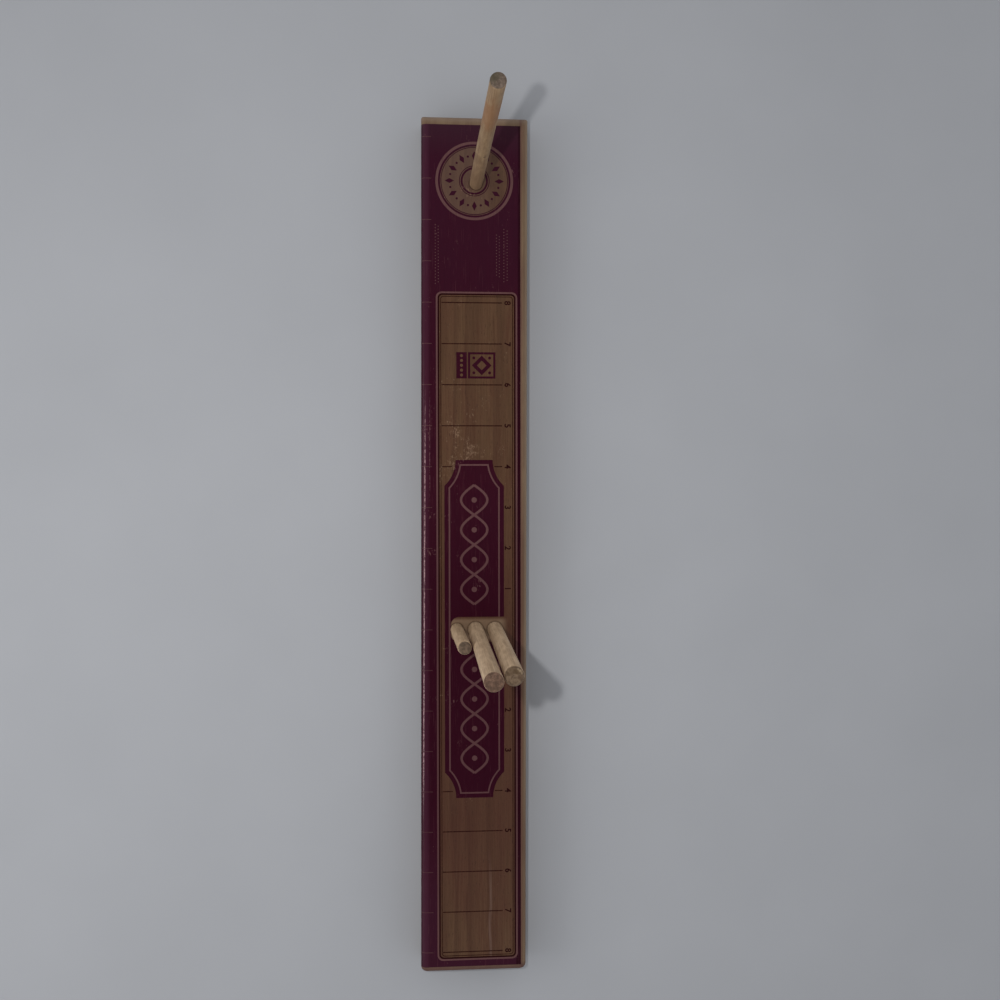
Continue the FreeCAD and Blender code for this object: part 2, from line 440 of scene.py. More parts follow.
ink = Finish("plum_ink", **{"Specular IOR Level": 0.0, "Coat Roughness": 0.22,
                            "Coat IOR": 1.45})
ink_along = ink.mapped(turn=ALONG_BOARD)
ink_x, ink_y = ink.split(ink.mapped())[:2]
streaks = ink.noise(ink_along, (1.8, 1.8, 0.03), detail=4.0, roughness=0.65)
clouds = ink.noise(ink_along, (0.05, 0.05, 0.03), detail=2.0)
plum = ink.mix(streaks, srgb(39, 8, 18), srgb(59, 16, 29))
plum = ink.mix(clouds * 0.4, plum, srgb(44, 10, 30))

# Greyer towards both ends, darker below the pegs, painted sheen on the bend, dark at the
# right.
towards_top = ink.step(ink_y, 90.0, 230.0)
top_haze = ink.step(ink_y, 238.0, 262.0)
towards_foot = 1 - ink.step(ink_y, -240.0, -160.0)
below_pegs = near(ink, ink_y, *DEEP_STRETCH)
painted_sheen_on_bend = near(ink, ink_x, *SHEEN_BEND)
right_margin = ink.step(ink_x, 26.4, 27.4)
plum = ink.mix(towards_top * 0.4, plum, srgb(54, 21, 38))
plum = ink.mix(top_haze * 0.35, plum, srgb(56, 38, 46))
plum = ink.mix(towards_foot * 0.4, plum, srgb(56, 27, 42))
plum = ink.mix(below_pegs * 0.5, plum, srgb(38, 3, 17))
# Painted sheen: the ink on the left bend is paler.
plum = ink.mix(painted_sheen_on_bend * 0.28, plum, srgb(82, 46, 62))
plum = ink.mix(right_margin * 0.6, plum, srgb(26, 2, 6))

# Rub marks, fine scratches, and a line along the bend that is wear with a painted
# highlight.
worn = near(ink, ink_y, *RUBBED_ALONG) * near(ink, ink_x, *RUBBED_ACROSS)
ink_rubs = rubbed(ink, ink_along, worn * 0.07 - 0.03)
scratches = ink.step(ink.noise(ink_along, (5.0, 5.0, 0.06), detail=1.0)
                     + worn * 0.03, 0.71, 0.77)
plum = ink.mix(scratches * 0.35, plum, srgb(112, 70, 72))
plum = ink.mix(ink_rubs * 0.38, plum, srgb(134, 98, 94))
broken = ink.step(ink.noise(ink_along, (1.3, 1.3, 0.5), detail=3.0, roughness=0.75),
                  0.42, 0.58)
# Wear and painted highlight: a broken pale line along the left bend.
wear_and_highlight_line = (near(ink, ink_x - ink_y * BEND_SLANT, *BEND_ACROSS)
             * near(ink, ink_y, *BEND_ALONG) * (0.15 + broken * 0.85))
plum = ink.mix(wear_and_highlight_line * 0.85, plum, srgb(176, 140, 142))
# A faint, broken pale line on the ground near the left edge.
pale_left_line = near(ink, ink_x, *PALE_LINE_ACROSS) * near(ink, ink_y, *PALE_LINE_ALONG) * broken
plum = ink.mix(pale_left_line * 0.3, plum, srgb(140, 100, 104))
ink.feed("Base Color", plum)
ink.feed("Roughness", 0.45 + ink_rubs * 0.2)
gloss = ink.step(ink.noise(ink_along, (0.7, 0.7, 0.3), detail=3.0, roughness=0.7),
                 0.42, 0.6)
ink.feed("Coat Weight", 0.2 + gloss * 0.08 - ink_rubs * 0.1)
ink.feed("Normal", ink.bump(streaks * 0.6 + ink_rubs * 0.6, 0.00004))


def rounded_panel(mesh, left, right, bottom, top, corner, height):
    """A flat panel with rounded corners."""
    size = Vector((right - left, top - bottom, 1))
    verts = bmesh.ops.create_grid(mesh, x_segments=1, y_segments=1, size=0.5,
                                  matrix=Matrix.LocRotScale(
                                      ((left + right) / 2, (bottom + top) / 2, height),
                                      None, size))["verts"]
    if corner:
        bmesh.ops.bevel(mesh, geom=verts, offset=corner, offset_type="OFFSET",
                        segments=FRAME_CORNER_STEPS, profile=0.5, affect="VERTICES",
                        material=-1)


def laid_on(mesh):
    """Turns a sheet a little on the board, as the print is, and gives it the thickness of
    ink that has soaked into the wood. What wraps the left edge stays along it."""
    inside = [v for v in mesh.verts if v.co.x > WRAP_START + 10 * TOUCH]
    bmesh.ops.rotate(mesh, cent=(0, SKEW_CENTRE_Y, INK_LEVEL), verts=inside,
                     matrix=Matrix.Rotation(PRINT_SKEW, 3, "Z"))
    bmesh.ops.recalc_face_normals(mesh, faces=mesh.faces)
    bmesh.ops.reverse_faces(mesh, faces=[f for f in mesh.faces if f.normal.z < 0])
    bmesh.ops.solidify(mesh, geom=mesh.faces, thickness=INK_DEPTH)
    return mesh


def wrapped(mesh, angle, steps):
    """Carries the left edge of a sheet on round the routed edge of the board."""
    edges = edges_at(mesh, lambda p: abs(p.x - WRAP_START) < TOUCH)
    bmesh.ops.spin(mesh, geom=edges + list({v for e in edges for v in e.verts}),
                   cent=(WRAP_START, 0, FACE - ROUNDOVER), axis=(0, -1, 0), angle=angle,
                   steps=steps, use_duplicate=False)


ground = bmesh.new()
rounded_panel(ground, WRAP_START, PRINT_RIGHT, PRINT_BOTTOM, PRINT_TOP, 0, INK_LEVEL)
rounded_panel(ground, FRAME_LEFT, FRAME_RIGHT, FRAME_BOTTOM, FRAME_TOP, FRAME_CORNER,
              INK_LEVEL)
bmesh.ops.create_circle(ground, cap_ends=False, segments=RING_SIDES,
                        radius=RING_RADIUS, matrix=moved(*RING_CENTRE, INK_LEVEL))
bmesh.ops.delete(ground, geom=ground.faces, context="FACES_ONLY")
filled(ground, ground.edges)
wrapped(ground, WRAP_ANGLE, WRAP_STEPS)
finished(laid_on(ground), "ink_ground", "board", ink.material)

# Inch scale

# A rounded frame of two plum lines, a line across the board at each inch that the plaque
# leaves free, and the numbers of the inches, read from the left. Short pale ticks in the
# ground beside the frame carry the inches on to the edge of the board.
FRAME_BAND = 1.1 * MM
FRAME_LINE = 1.0 * MM
INNER_LINE_INSET = 2.75 * MM
INNER_LINE = 0.45 * MM
CORNER_TIGHTENING = 0.6
LEAST_CORNER = 1.2 * MM
PRINT_GAP = 0.02 * MM
CROSS_LEFT = -20.3 * MM
CROSS_RIGHT = 17.2 * MM
CROSS_LINE = 0.65 * MM
LEFT_STUB_END = -13.95 * MM
RIGHT_STUB_START = 12.35 * MM

# The digits of the plain type stand TYPE_RISE of its size high.
NUMBER_X = 20.5 * MM
NUMBER_HEIGHT = 4.1 * MM
NUMBER_FATTER = 0.13 * MM
NUMBER_CURVE_STEPS = 5
TYPE_RISE = 0.73

TICK_RIGHT = -26.4 * MM
TICK_WRAP = math.radians(62)
TICK_WRAP_STEPS = 8
TICK_LINE = 0.24 * MM

# The last numbered inch, the inch at the plaque's ends and the last tick above zero.
SCALE_END = 8
PLAQUE_END = 4
LAST_TICK = 12


def frame_line(mesh, inset, width):
    """A closed line that keeps an even distance inside the opening of the ground."""
    verts_before = set(mesh.verts)
    rounded_panel(mesh, FRAME_LEFT + inset, FRAME_RIGHT - inset, FRAME_BOTTOM + inset,
                  FRAME_TOP - inset,
                  max(FRAME_CORNER - inset * CORNER_TIGHTENING, LEAST_CORNER), INK_LEVEL)
    panel = [f for f in mesh.faces if not verts_before & set(f.verts)][-1:]
    bmesh.ops.inset_region(mesh, faces=panel, thickness=width, use_even_offset=True,
                           use_boundary=True)
    bmesh.ops.delete(mesh, geom=panel, context="FACES")


def cross_line(mesh, left, right, inch, width):
    """A straight line across the board at one inch of the scale."""
    rounded_panel(mesh, left, right, ZERO_MARK + inch * INCH - width / 2,
                  ZERO_MARK + inch * INCH + width / 2, 0, INK_LEVEL)


fine_ink = Finish("brown_plum_ink", **{"Specular IOR Level": 0.0, "Coat Roughness": 0.24,
                                       "Coat IOR": 1.45})
fine_along = fine_ink.mapped(turn=ALONG_BOARD)
thin = fine_ink.noise(fine_along, (1.6, 1.6, 0.4), detail=3.0, roughness=0.7)
fine_ink.feed("Base Color", fine_ink.mix(fine_ink.step(thin, 0.35, 0.75),
                                         srgb(32, 8, 8), srgb(58, 30, 20)))
fine_ink.feed("Roughness", 0.45 + thin * 0.1)
fine_ink.feed("Coat Weight", 0.35 - thin * 0.1)

dark_ink = Finish("dark_plum_ink", **{"Specular IOR Level": 0.0, "Coat Roughness": 0.24,
                                      "Coat IOR": 1.45, "Roughness": 0.5})
dark_along = dark_ink.mapped(turn=ALONG_BOARD)
dark_fibres = dark_ink.noise(dark_along, (1.8, 1.8, 0.03), detail=3.0, roughness=0.65)
dark_ink.feed("Base Color", dark_ink.mix(dark_fibres, srgb(24, 3, 5), srgb(44, 14, 14)))
dark_ink.feed("Coat Weight", 0.15 + dark_fibres * 0.1)

border = bmesh.new()
frame_line(border, FRAME_BAND, FRAME_LINE)
finished(laid_on(border), "frame_border", "board", dark_ink.material)

lines = bmesh.new()
frame_line(lines, INNER_LINE_INSET, INNER_LINE)
for side in (-1, 1):
    for inch in range(PLAQUE_END + 1, SCALE_END + 1):
        cross_line(lines, CROSS_LEFT, CROSS_RIGHT, side * inch, CROSS_LINE)
    cross_line(lines, CROSS_LEFT, LEFT_STUB_END, side * PLAQUE_END, CROSS_LINE)
    cross_line(lines, RIGHT_STUB_START, CROSS_RIGHT, side * PLAQUE_END, CROSS_LINE)
finished(laid_on(lines), "scale_lines", "board", fine_ink.material)

numbers = bmesh.new()
for inch in [n for n in range(-SCALE_END, SCALE_END + 1) if n]:
    type_data = bpy.data.curves.new("number", "FONT")
    type_data.body = str(abs(inch))
    type_data.size = (NUMBER_HEIGHT - 2 * NUMBER_FATTER) / TYPE_RISE
    type_data.offset = NUMBER_FATTER
    type_data.resolution_u = NUMBER_CURVE_STEPS
    type_data.align_x = "CENTER"
    type_data.align_y = "CENTER"
    type_object = bpy.data.objects.new("number", type_data)
    flat = bpy.data.meshes.new_from_object(type_object)
    flat.transform(moved(NUMBER_X, ZERO_MARK + inch * INCH, INK_LEVEL)
                   @ Matrix.Rotation(math.radians(-90), 4, "Z"))
    numbers.from_mesh(flat)
    bpy.data.objects.remove(type_object)
    bpy.data.curves.remove(type_data)
    bpy.data.meshes.remove(flat)
bmesh.ops.remove_doubles(numbers, verts=numbers.verts, dist=TOUCH)
finished(laid_on(numbers), "scale_numbers", "board", dark_ink.material)

stain = Finish("rosy_wood_line", **{"Specular IOR Level": 0.05, "Coat Roughness": 0.24,
                                    "Coat IOR": 1.45})
stain_along = stain.mapped(turn=ALONG_BOARD)
stain_fibres = stain.noise(stain_along, (2.4, 2.4, 0.035), detail=3.0, roughness=0.6)
rose = stain.mix(stain_fibres, srgb(74, 47, 48), srgb(104, 72, 70))
# Painted shade over the lower stretch of the board, as on the wood.
painted_shade_stretch = near(stain, stain.split(stain.mapped())[1], *SHADED_STRETCH)
stain.feed("Base Color", stain.mix(painted_shade_stretch * 0.4, rose, srgb(58, 30, 36)))
stain.feed("Roughness", 0.5 + stain_fibres * 0.1)
stain.feed("Coat Weight", 0.35 - stain_fibres * 0.1)

ticks = bmesh.new()
for inch in range(-SCALE_END, LAST_TICK + 1):
    cross_line(ticks, WRAP_START, TICK_RIGHT, inch, TICK_LINE)
for vert in ticks.verts:
    vert.co.z += INK_RISE / 2
wrapped(ticks, TICK_WRAP, TICK_WRAP_STEPS)
finished(laid_on(ticks), "edge_ticks", "board", stain.material)

band = bmesh.new()
frame_line(band, PRINT_GAP, FRAME_BAND - 2 * PRINT_GAP)
finished(laid_on(band), "frame_band", "board", stain.material)

# Stamp and rules

# A plum stamp lies between the marks for 6 and 7: a bar pierced by a row of dots, and a
# frame round a pierced lozenge and four dots. Three fine rules of staggered pale beads run
# along the ground above the scale.
STAMP_TOP = 6.795 * INCH
STAMP_BOTTOM = 6.155 * INCH
BAR_LEFT, BAR_RIGHT = -11.2 * MM, -4.7 * MM
PANEL_LEFT, PANEL_RIGHT = -3.9 * MM, 13.1 * MM
PANEL_BORDER = 1.3 * MM
BAR_DOT = 0.95 * MM
BAR_DOT_PITCH = 3.0 * MM
PANEL_LOZENGES = (6.1 * MM, 3.0 * MM)
PANEL_DOT = 0.9 * MM
PANEL_DOT_X, PANEL_DOT_Y = 4.9 * MM, 4.6 * MM
DOT_SIDES = 16

# Each rule's middle and half width in millimetres, and its first and last inch.
RULES = ((-23.1, 1.5, 8.42, 9.88), (14.75, 1.45, 8.6, 9.65), (19.5, 1.7, 8.47, 9.79))
BEAD_RADIUS = 0.3 * MM
BEAD_PITCH = 1.9 * MM
BEAD_STAGGER = 0.6


def lozenge(mesh, place, long, wide):
    """A four-cornered diamond, long along its place's Y axis."""
    bmesh.ops.create_circle(mesh, cap_ends=True, segments=4, radius=1.0,
                            matrix=place @ Matrix.Diagonal((wide, long, 1, 1)))


def dot(mesh, place, radius):
    """A flat round dot."""
    bmesh.ops.create_circle(mesh, cap_ends=True, segments=DOT_SIDES, radius=radius,
                            matrix=place)


stamp = bmesh.new()
stamp_middle = ZERO_MARK + (STAMP_TOP + STAMP_BOTTOM) / 2
bar_middle = (BAR_LEFT + BAR_RIGHT) / 2
panel_middle = (PANEL_LEFT + PANEL_RIGHT) / 2
for side_left, side_right in ((BAR_LEFT, BAR_RIGHT), (PANEL_LEFT, PANEL_RIGHT)):
    rounded_panel(stamp, side_left, side_right, ZERO_MARK + STAMP_BOTTOM,
                  ZERO_MARK + STAMP_TOP, 0, INK_LEVEL)
rounded_panel(stamp, PANEL_LEFT + PANEL_BORDER, PANEL_RIGHT - PANEL_BORDER,
              ZERO_MARK + STAMP_BOTTOM + PANEL_BORDER, ZERO_MARK + STAMP_TOP - PANEL_BORDER,
              0, INK_LEVEL)
for number in (-2, -1, 0, 1, 2):
    dot(stamp, moved(bar_middle, stamp_middle + number * BAR_DOT_PITCH, INK_LEVEL), BAR_DOT)
for half in PANEL_LOZENGES:
    lozenge(stamp, moved(panel_middle, stamp_middle, INK_LEVEL), half, half)
bmesh.ops.delete(stamp, geom=stamp.faces, context="FACES_ONLY")
filled(stamp, stamp.edges)
for side in (-1, 1):
    for end in (-1, 1):
        dot(stamp, moved(panel_middle + side * PANEL_DOT_X,
                         stamp_middle + end * PANEL_DOT_Y, INK_LEVEL), PANEL_DOT)
finished(laid_on(stamp), "scale_stamp", "board", ink.material)

beads = bmesh.new()
for middle, half, first, last in RULES:
    for number in range(int((last - first) * INCH / BEAD_PITCH * 2)):
        place = middle + half * (BEAD_STAGGER if number % 2 else -BEAD_STAGGER)
        dot(beads, moved(place * MM, ZERO_MARK + last * INCH - number * BEAD_PITCH / 2,
                         INK_LEVEL + INK_RISE / 2), BEAD_RADIUS)
finished(laid_on(beads), "fine_rules", "board", stain.material)

# Ring round the spool dowel

# The opening for the spool dowel's ring is edged by a plum circle and a hairline inside
# it, with a smaller pair round the hole. Plain lozenges and dots stand between the pairs.
RING_BAND = 1.65 * MM
RING_HAIRLINE = 0.5 * MM
RING_LINE = 1.2 * MM
RING_LINES = ((RING_RADIUS - RING_BAND, RING_LINE), (20.9 * MM, RING_HAIRLINE),
              (9.45 * MM, RING_HAIRLINE), (8.45 * MM, RING_LINE))
RING_LINE_SIDES = 96
ORNAMENT_RADIUS = 15.4 * MM
ORNAMENT_COUNT = 12
LOZENGE_LONG = 2.9 * MM
LOZENGE_WIDE = 1.5 * MM
DOT_RADIUS = 0.7 * MM


def circle_line(mesh, radius, width):
    """A round line, measured to its outer edge."""
    verts = bmesh.ops.create_circle(mesh, cap_ends=True, segments=RING_LINE_SIDES,
                                    radius=radius,
                                    matrix=moved(*RING_CENTRE, INK_LEVEL))["verts"]
    disc = list({f for v in verts for f in v.link_faces})
    bmesh.ops.inset_region(mesh, faces=disc, thickness=width, use_even_offset=True,
                           use_boundary=True)
    bmesh.ops.delete(mesh, geom=disc, context="FACES")


rings = bmesh.new()
for radius, width in RING_LINES:
    circle_line(rings, radius, width)
for number in range(ORNAMENT_COUNT * 2):
    turn = Matrix.Rotation(math.pi * number / ORNAMENT_COUNT, 4, "Z")
    spot = moved(*RING_CENTRE, INK_LEVEL) @ turn @ moved(0, ORNAMENT_RADIUS, 0)
    if number % 2:
        dot(rings, spot, DOT_RADIUS)
    else:
        lozenge(rings, spot, LOZENGE_LONG, LOZENGE_WIDE)
finished(laid_on(rings), "spool_rings", "board", ink.material)

band = bmesh.new()
circle_line(band, RING_RADIUS - PRINT_GAP, RING_BAND - 2 * PRINT_GAP)
finished(laid_on(band), "ring_band", "board", stain.material)

# Plaque

# A long plum plaque with scooped corners, printed inside the frame. A thin line of bare
# wood follows its outline, and a slot of bare wood is left in it round the row of pegs.
PLAQUE_HALF = 18.55 * MM
PLAQUE_NECK = 11.55 * MM
PLAQUE_TOP = 4.165 * INCH
PLAQUE_SHOULDER = 3.53 * INCH
PLAQUE_X = -0.25 * MM
SCOOP_WIDE = PLAQUE_HALF - PLAQUE_NECK
SCOOP_HIGH = PLAQUE_TOP - PLAQUE_SHOULDER
SCOOP_STEPS = 10
PLAQUE_BORDER = 2.6 * MM
PLAQUE_LINE = 1.0 * MM
SLOT_HALF = 7.9 * MM
SLOT_CORNER = 5.2 * MM
SLOT_CORNER_STEPS = 12
SLOT_LEFT = -14.5 * MM
SLOT_RIGHT = 19.5 * MM

# Room for rounding where the open ends of the outline are told apart.
SLACK = 0.1 * MM


def plaque_outline(mesh, inset):
    """The closed outline at an inset: a quarter of it, whose scoop is spun about its own
    centre, is mirrored twice and joined."""
    radius = ((SCOOP_WIDE ** 2 + SCOOP_HIGH ** 2) / (2 * SCOOP_WIDE)) + inset
    centre = Vector((PLAQUE_NECK + radius - inset, PLAQUE_TOP, 0))
    first = math.asin(inset / radius)
    last = math.acos((centre.x - PLAQUE_HALF + inset) / radius)
    corner = mesh.verts.new(centre - radius * Vector((math.cos(first), math.sin(first), 0)))
    bmesh.ops.spin(mesh, geom=[corner], cent=centre, axis=(0, 0, 1), angle=last - first,
                   steps=SCOOP_STEPS, use_duplicate=False)
    chain = {v for e in corner.link_edges for v in e.verts}
    while True:
        grown = chain | {v for c in chain for e in c.link_edges for v in e.verts}
        if grown == chain:
            break
        chain = grown
    geom = list(chain) + list({e for v in chain for e in v.link_edges})
    for axis in ("X", "Y"):
        added = bmesh.ops.mirror(mesh, geom=geom, axis=axis, merge_dist=-1.0)["geom"]
        geom = list(set(geom + added))
    verts = [g for g in geom if isinstance(g, bmesh.types.BMVert)]
    ends = [v for v in verts if len(v.link_edges) == 1]
    for test in (lambda v: v.co.y > PLAQUE_TOP - inset - SLACK,
                 lambda v: v.co.y < inset + SLACK - PLAQUE_TOP,
                 lambda v: abs(v.co.y) < PLAQUE_TOP - inset - SLACK and v.co.x < 0,
                 lambda v: abs(v.co.y) < PLAQUE_TOP - inset - SLACK and v.co.x > 0):
        mesh.edges.new([v for v in ends if test(v)])
    bmesh.ops.transform(mesh, matrix=moved(PLAQUE_X, ZERO_MARK, INK_LEVEL), verts=verts)


def plaque_part(*insets):
    """A sheet between two outlines of the plaque, or within one."""
    mesh = bmesh.new()
    for inset in insets:
        plaque_outline(mesh, inset)
    filled(mesh, mesh.edges)
    return mesh


def without_slot(mesh, name, material):
    """Cuts the slot round the pegs out of a piece of the plaque."""
    made = finished(laid_on(mesh), name, "board", material)
    punch = bmesh.new()
    rounded_panel(punch, SLOT_LEFT, SLOT_RIGHT, ZERO_MARK - SLOT_HALF,
                  ZERO_MARK + SLOT_HALF, 0, INK_LEVEL - MM)
    bmesh.ops.bevel(punch, geom=[v for v in punch.verts if v.co.x < 0],
                    offset=SLOT_CORNER, offset_type="OFFSET", segments=SLOT_CORNER_STEPS,
                    profile=0.5, affect="VERTICES", material=-1)
    grown = bmesh.ops.extrude_face_region(punch, geom=punch.faces[:])["geom"]
    bmesh.ops.translate(punch, vec=(0, 0, 2 * MM),
                        verts=[g for g in grown if isinstance(g, bmesh.types.BMVert)])
    bmesh.ops.recalc_face_normals(punch, faces=punch.faces)
    punch_data = bpy.data.meshes.new("punch")
    punch.to_mesh(punch_data)
    punch.free()
    punch_piece = bpy.data.objects.new("punch", punch_data)
    bpy.context.scene.collection.objects.link(punch_piece)
    cut = made.modifiers.new("slot", "BOOLEAN")
    cut.operation = "DIFFERENCE"
    cut.solver = "EXACT"
    cut.object = punch_piece
    bpy.context.view_layer.update()
    whole = bpy.data.meshes.new_from_object(
        made.evaluated_get(bpy.context.evaluated_depsgraph_get()))
    made.modifiers.clear()
    old = made.data
    made.data = whole
    whole.name = name
    bpy.data.meshes.remove(old)
    bpy.data.objects.remove(punch_piece)
    bpy.data.meshes.remove(punch_data)


without_slot(plaque_part(0, PLAQUE_BORDER), "plaque_border", ink.material)
without_slot(plaque_part(PLAQUE_BORDER + PRINT_GAP,
                         PLAQUE_BORDER + PLAQUE_LINE - PRINT_GAP),
             "plaque_line", stain.material)
without_slot(plaque_part(PLAQUE_BORDER + PLAQUE_LINE), "plaque_field", ink.material)

# Ornament in the plaque

# Two waves of bare wood cross along the plaque, above its slot and below it, with a dot in
# each eye. Each wave is a chain of short flat lengths, and one passes over the other.
WAVE_REACH = 8.2 * MM
WAVE_WIDTH = 1.5 * MM
WAVE_STEPS = 14
WAVE_LIFTS = ((-1, 0.5 * INK_RISE), (1, 0.8 * INK_RISE))
WAVE_SPANS = ((0.62 * INCH, 3.55 * INCH), (-3.55 * INCH, -0.62 * INCH))
EYES = 4
EYE_DOT = 1.7 * MM

waves = bmesh.new()
for start, end in WAVE_SPANS:
    eye = (end - start) / EYES
    for side, lift in WAVE_LIFTS:
        trail = None
        for number in range(EYES * WAVE_STEPS + 1):
            along_wave = number / WAVE_STEPS
            sway = side * WAVE_REACH * math.sin(math.pi * along_wave)
            slope = side * WAVE_REACH * math.pi / eye * math.cos(math.pi * along_wave)
            across = Vector((1.0, -slope, 0)).normalized() * WAVE_WIDTH / 2
            middle = Vector((PLAQUE_X + sway, ZERO_MARK + start + along_wave * eye,
                             INK_LEVEL + lift))
            pair = [waves.verts.new(middle - across), waves.verts.new(middle + across)]
            edge = waves.edges.new(pair)
            if trail:
                bmesh.ops.bridge_loops(waves, edges=[trail, edge])
            trail = edge
    for number in range(EYES):
        dot(waves, moved(PLAQUE_X, ZERO_MARK + start + (number + 0.5) * eye,
                         INK_LEVEL + INK_RISE / 2), EYE_DOT)
finished(laid_on(waves), "plaque_waves", "board", stain.material)

# Dowels

# Birch dowels, sanded and left bare. Each is cut to length, its ends broken with sandpaper
# and its lower end turned a shade thinner, so that it pushes into its hole by hand.
SEAT_CLEARANCE = 0.05 * MM
SEAT_CONE = 0.8 * MM
SEAT_CHAMFER = 0.6 * MM
DOWEL_PITCH = 7.0 * MM
WAVER = 0.04 * MM
WAVER_LENGTH = 9.0 * MM
LEAN_CURVE = 1.15
END_SOFTNESS = 0.3


def turned_dowel(name, tip, lean, aslant):
    """A dowel spun from half its outline. The tip lists steps in from the side and down
    from the end; aslant is how far its rounding is sanded off centre, and lean how far the
    end stands off its seat's axis."""
    low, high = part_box(name)
    radius = (high.x - low.x) / 2
    seat = radius - SEAT_CLEARANCE
    outline = [(0, low.z), (seat - SEAT_CHAMFER, low.z), (seat, low.z + SEAT_CHAMFER),
               (seat, FACE), (radius, FACE + SEAT_CONE)]
    rise = FACE + SEAT_CONE + DOWEL_PITCH
    while rise < high.z - DOWEL_PITCH:
        outline.append((radius - WAVER * (0.5 + 0.5 * math.sin(rise / WAVER_LENGTH)), rise))
        rise += DOWEL_PITCH
    outline += [(radius - inward, high.z - down) for inward, down in tip]
    outline += [(radius * 0.5, high.z), (0, high.z)]
    mesh = bmesh.new()
    verts = [mesh.verts.new((out, 0, up)) for out, up in outline]
    edges = [mesh.edges.new(pair) for pair in zip(verts, verts[1:])]
    bmesh.ops.spin(mesh, geom=verts + edges, cent=(0, 0, 0), axis=(0, 0, 1),
                   angle=2 * math.pi, steps=DOWEL_SIDES, use_merge=True,
                   use_duplicate=False)
    bmesh.ops.remove_doubles(mesh, verts=mesh.verts, dist=TOUCH)
    centre = (low + high) / 2
    for vert in mesh.verts:
        sanded = max(0.0, 1 - (high.z - vert.co.z) / tip[0][1])
        vert.co += Vector((aslant[0] * sanded, aslant[1] * sanded, 0))
        share = max(0.0, (vert.co.z - FACE) / (high.z - FACE)) ** LEAN_CURVE
        vert.co += Vector((centre.x + lean[0] * share, centre.y + lean[1] * share, 0))
    return mesh


def dowel_finish(name, pale, dark, end_pale, end_dark, end_from, spots, shift):
    """Bare birch with its grain up the dowel and end grain where it faces up by more than
    end_from. Each spot has a place, a size, a colour and a strength."""
    finish = Finish(name, **{"Specular IOR Level": 0.3})
    place = finish.mapped(shift=shift)
    still = finish.mapped()
    fibres = finish.step(finish.noise(place, (1.7, 1.7, 0.035), detail=3.0, roughness=0.6),
                         0.3, 0.7)
    flecks = finish.step(finish.noise(place, (3.0, 3.0, 0.6), detail=2.0), 0.6, 0.7)
    clouds = finish.step(finish.noise(place, (0.3, 0.3, 0.09), detail=3.0, roughness=0.6),
                         0.35, 0.65)
    side = finish.mix(fibres * 0.6 + clouds * 0.4, dark, pale)
    side = finish.mix(flecks * 0.25, side, end_dark)
    facing = finish.node("ShaderNodeTexCoord").out("Normal")
    end = finish.step(finish.split(facing)[2], end_from, end_from + END_SOFTNESS)
    grain = finish.noise(place, (1.6, 1.6, 0.4), detail=4.0, roughness=0.75)
    x, y = finish.split(place)[:2]
    curve = finish.node("ShaderNodeMath", {"operation": "SINE"},
                        {0: (x + y * 0.35 + (grain - 0.5) * 2.0) * 3.6})
    mottle = finish.step(finish.noise(place, (0.5, 0.5, 0.3), detail=3.0, roughness=0.65),
                         0.36, 0.64)
    cut = finish.mix(finish.step(grain, 0.3, 0.7) * 0.4 + mottle * 0.6, end_dark, end_pale)
    cut = finish.mix(curve * 0.12 + 0.12, cut, end_dark)
    body = finish.mix(end, side, cut)
    for spot_place, size, colour, amount in spots:
        reach = finish.node("ShaderNodeVectorMath", {"operation": "DISTANCE"},
                            {0: still, 1: spot_place}, output="Value")
        ragged = reach + (clouds - 0.5) * size * 0.4
        body = finish.mix((1 - finish.step(ragged, size * 0.35, size)) * amount, body,
                          colour)
    finish.feed("Base Color", body)
    finish.feed("Roughness", 0.62 + end * 0.2)
    finish.feed("Normal", finish.bump(fibres * 0.5 + grain * 0.5, 0.00008))
    return finish.material


ROUND_TIP = ((0, 1.2 * MM), (0.02 * MM, 0.55 * MM), (0.12 * MM, 0.22 * MM),
             (0.30 * MM, 0.06 * MM), (0.55 * MM, 0))
WORN_TIP = ((0, 2.0 * MM), (0.08 * MM, 1.2 * MM), (0.3 * MM, 0.5 * MM),
            (0.6 * MM, 0.15 * MM), (0.9 * MM, 0))
BEVEL_TIP = ((0, 2.4 * MM), (0.05 * MM, 1.3 * MM), (0.3 * MM, 0.75 * MM),
             (0.85 * MM, 0.12 * MM), (1.1 * MM, 0))


def stand(name, tip, lean, aslant, sides, ends, end_from, shift, spots=()):
    """Makes one dowel with its own finish and puts it in the plain one's place. Its sides
    and ends each have a pale and a dark colour; shift moves its grain along the noise."""
    finish = dowel_finish("birch_" + name, *sides, *ends, end_from, spots, shift)
    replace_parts(finished(turned_dowel(name, tip, lean, aslant), "birch_" + name, name,
                         finish), name)


stand("spool_dowel", ROUND_TIP, lean=(2.1 * MM, 0.7 * MM), aslant=(0.0, 0.0),
      sides=(srgb(148, 123, 93), srgb(114, 89, 64)),
      ends=(srgb(118, 102, 90), srgb(74, 62, 52)), end_from=0.15, shift=(11.0, 5.0, 0.0),
      spots=(((4.5, 221.0, 147.0), 25.0, srgb(128, 90, 60), 0.7),
             # Painted shade: the lower part of the dowel is darker towards the board.
             ((0.8, 225.9, 24.0), 85.0, srgb(106, 80, 60), 0.5),
             ((0.2, 227.6, 184.0), 4.2, srgb(66, 60, 44), 0.75),
             ((2.3, 222.3, 83.0), 1.3, srgb(70, 46, 30), 0.9)))
stand("short_peg", WORN_TIP, lean=(2.0 * MM, 0.9 * MM), aslant=(0.2 * MM, -0.3 * MM),
      sides=(srgb(180, 153, 122), srgb(136, 111, 84)),
      ends=(srgb(114, 94, 78), srgb(66, 54, 42)), end_from=0.4, shift=(37.0, 61.0, 13.0))
